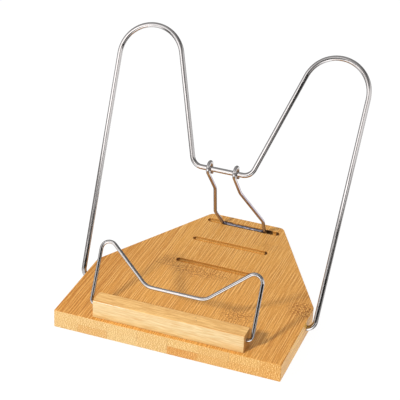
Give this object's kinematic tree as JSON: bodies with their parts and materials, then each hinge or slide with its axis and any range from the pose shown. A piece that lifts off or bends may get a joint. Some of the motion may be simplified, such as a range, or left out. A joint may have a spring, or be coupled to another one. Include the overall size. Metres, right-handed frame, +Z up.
{
  "type": "reading stand",
  "caption": "Tabletop reading stand: bamboo board with a rest bar, a folding wire easel propped by a wire leg in a groove, and a wire page holder.",
  "frame": {"origin": "on the supporting surface, under the middle of the stand's bounding box, which is also the middle of the board", "axes": "+X to the reader's right along the rest bar, +Y from the rest bar to the rear, +Z up"},
  "size_m": [0.218, 0.2008, 0.2033],
  "materials": {
    "bamboo_board": "clear satin lacquer on golden strip bamboo",
    "bamboo_bar": "clear satin lacquer on pale strip bamboo",
    "easel_wire": "bright plated",
    "support_wire": "bright plated",
    "holder_wire": "bright plated",
    "screw_steel": "zinc plated",
    "pad_rubber": "matte"
  },
  "bodies": {
    "base": {"base_board": "bamboo_board", "rest_bar": "bamboo_bar", "bar_screw_left": "screw_steel", "bar_screw_right": "screw_steel", "foot_pad_front_left": "pad_rubber", "foot_pad_front_right": "pad_rubber", "foot_pad_rear_left": "pad_rubber", "foot_pad_rear_right": "pad_rubber"},
    "easel": {"easel_frame": "easel_wire"},
    "support": {"support_leg": "support_wire"},
    "holder": {"page_holder": "holder_wire"}
  },
  "joints": [
    {"name": "easel_hinge", "type": "hinge", "parent": "base", "child": "easel", "pos_m": [0, -0.03123, 0.00873], "axis": [1, 0, 0], "range_deg": [0, 117.4]},
    {"name": "support_hinge", "type": "hinge", "parent": "easel", "child": "support", "pos_m": [0, 0.01926, 0.10596], "axis": [1, 0, 0], "range_deg": [0, 114.6]},
    {"name": "holder_hinge", "type": "hinge", "parent": "base", "child": "holder", "pos_m": [0, -0.09035, 0.02531], "axis": [1, 0, 0], "range_deg": [-70, 115.8]}
  ]
}
